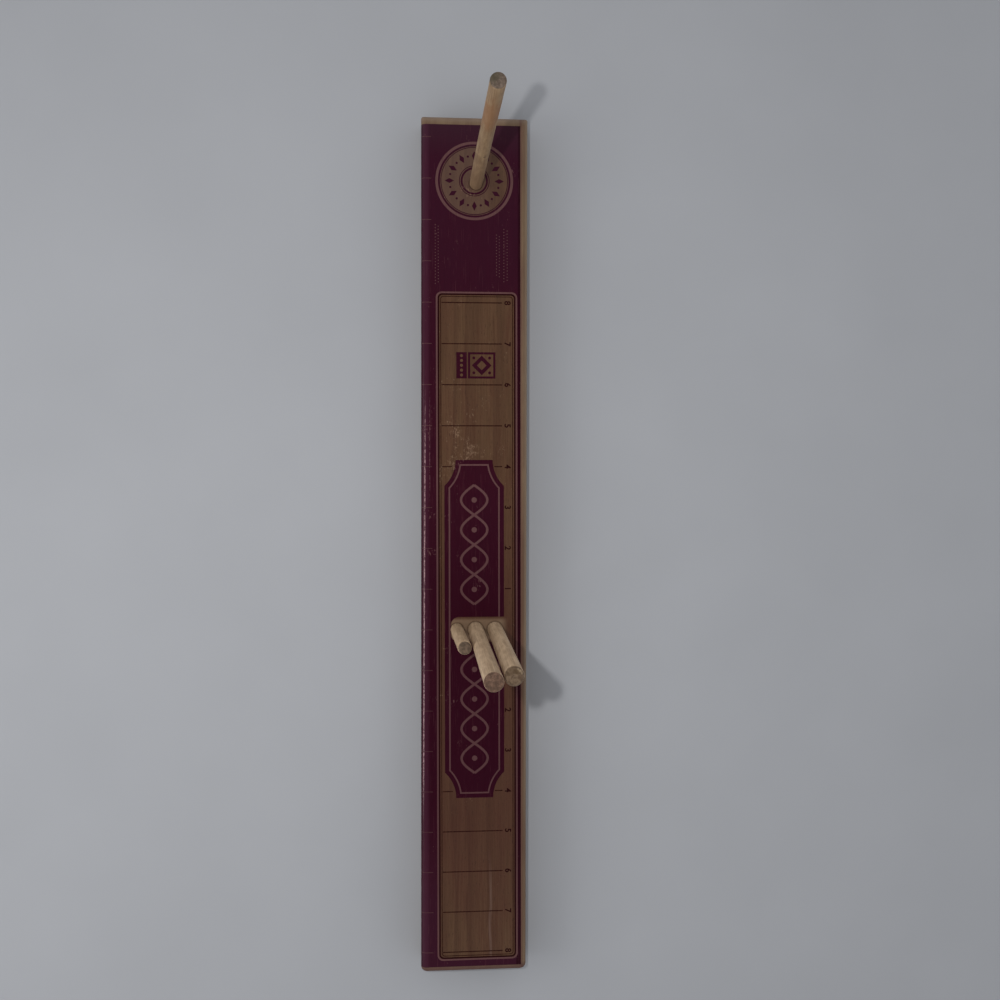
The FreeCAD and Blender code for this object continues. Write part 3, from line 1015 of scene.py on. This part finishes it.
stand("middle_tall_peg", ROUND_TIP, lean=(0.0, 1.2 * MM), aslant=(-0.12 * MM, 0.2 * MM),
      sides=(srgb(185, 158, 127), srgb(140, 115, 89)),
      ends=(srgb(114, 88, 72), srgb(62, 46, 36)), end_from=0.3, shift=(71.0, 17.0, 29.0))
stand("right_tall_peg", BEVEL_TIP, lean=(-1.8 * MM, 2.1 * MM),
      aslant=(-0.55 * MM, -0.3 * MM), sides=(srgb(188, 161, 130), srgb(144, 119, 92)),
      ends=(srgb(122, 102, 82), srgb(74, 58, 44)), end_from=0.12, shift=(3.0, 83.0, 47.0),
      # Painted shade on the bevel above and to the right of the tip's end.
      spots=(((9.4, -45.8, 181.4), 3.4, srgb(76, 58, 38), 0.5),
             ((12.4, -46.6, 181.9), 1.7, srgb(72, 54, 34), 0.6),
             ((14.0, -49.2, 181.9), 1.7, srgb(78, 58, 44), 0.5),
             # Painted highlight and wear on the upper right of the bevel.
             ((12.8, -45.5, 181.4), 0.8, srgb(152, 132, 106), 0.5),
             ((13.6, -46.2, 181.4), 0.9, srgb(158, 138, 110), 0.55),
             ((14.4, -47.3, 181.4), 0.8, srgb(152, 132, 106), 0.5)))

# Floor, light and camera

# A pale floor that the board lies on, left open under it so that its back can be seen, an
# even room, a small lamp beside the camera, a long one low on the left, and the camera.
FLOOR_HALF = 3.0
ROOM_TINT = (0.94, 0.96, 1.0, 1.0)
ROOM_LOW, ROOM_FADE = 1.15, 0.95
FOCAL_PIXELS = 1030.0
PICTURE_PIXELS = 1000.0
SENSOR_WIDTH = 36.0
NEAREST_SEEN = 10 * MM
CAMERA_PLACE = (-0.031, 0.0449, 0.65975)
CAMERA_TURN = (math.radians(-1.327), math.radians(-4.2))

floor_finish = Finish("pale_floor", **{"Roughness": 0.9, "Specular IOR Level": 0.1})
mottle = floor_finish.noise(floor_finish.mapped(), (0.01, 0.01, 0.01), detail=3.0)
floor_finish.feed("Base Color", floor_finish.mix(mottle, srgb(159, 160, 163),
                                                 srgb(167, 168, 171)))
floor = bmesh.new()
rounded_panel(floor, -FLOOR_HALF, FLOOR_HALF, -FLOOR_HALF, FLOOR_HALF, 0, 0)
bmesh.ops.delete(floor, geom=floor.faces, context="FACES_ONLY")
board_mesh = board_piece.data
back = min(board_mesh.polygons, key=lambda face: face.center.z)
outline = [floor.verts.new(board_mesh.vertices[number].co) for number in back.vertices]
for pair in zip(outline, outline[1:] + outline[:1]):
    floor.edges.new(pair)
filled(floor, floor.edges)
floor_data = bpy.data.meshes.new("floor")
floor.to_mesh(floor_data)
floor.free()
floor_data.materials.append(floor_finish.material)
floor_piece = bpy.data.objects.new("floor", floor_data)
bpy.context.scene.collection.objects.link(floor_piece)
floor_piece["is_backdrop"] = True


def lamp(name, place, aim, width, height, power, mirrored):
    """A rectangular lamp at a place, aimed at a point. Its own shape shows in gloss only
    where it is mirrored."""
    data = bpy.data.lights.new(name, "AREA")
    data.shape = "RECTANGLE"
    data.size = width
    data.size_y = height
    data.energy = power
    made = bpy.data.objects.new(name, data)
    bpy.context.scene.collection.objects.link(made)
    made.visible_glossy = mirrored
    made.location = place
    made.rotation_euler = (Vector(aim) - Vector(place)).to_track_quat("-Z", "Y").to_euler()


lamp("near_lamp", place=(-0.094, 0.067, 0.642), aim=(0.0, 0.0, 0.0), width=0.012,
     height=0.012, power=1.3, mirrored=False)
lamp("side_lamp", place=(-0.78, -0.12, 0.36), aim=(-0.03, -0.05, 0.02), width=0.61,
     height=0.36, power=2.0, mirrored=True)

world = bpy.data.worlds.new("room")
room = Nodes(world)
upward = room.split(room.node("ShaderNodeTexCoord"))[2]
strength = ROOM_LOW - room.step(upward, 0.35, 0.95) * ROOM_FADE
glow = room.node("ShaderNodeBackground", {}, {"Color": ROOM_TINT, "Strength": strength})
room.node("ShaderNodeOutputWorld", {}, {"Surface": glow})
bpy.context.scene.world = world

camera_data = bpy.data.cameras.new("camera")
camera_data.sensor_width = SENSOR_WIDTH
camera_data.lens = SENSOR_WIDTH * FOCAL_PIXELS / PICTURE_PIXELS
camera_data.clip_start = NEAREST_SEEN
camera = bpy.data.objects.new("camera", camera_data)
bpy.context.scene.collection.objects.link(camera)
camera.matrix_world = (moved(*CAMERA_PLACE) @ Matrix.Rotation(CAMERA_TURN[0], 4, "X")
                       @ Matrix.Rotation(CAMERA_TURN[1], 4, "Y"))
bpy.context.scene.camera = camera
bpy.context.scene.view_settings.view_transform = "Standard"

low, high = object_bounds()
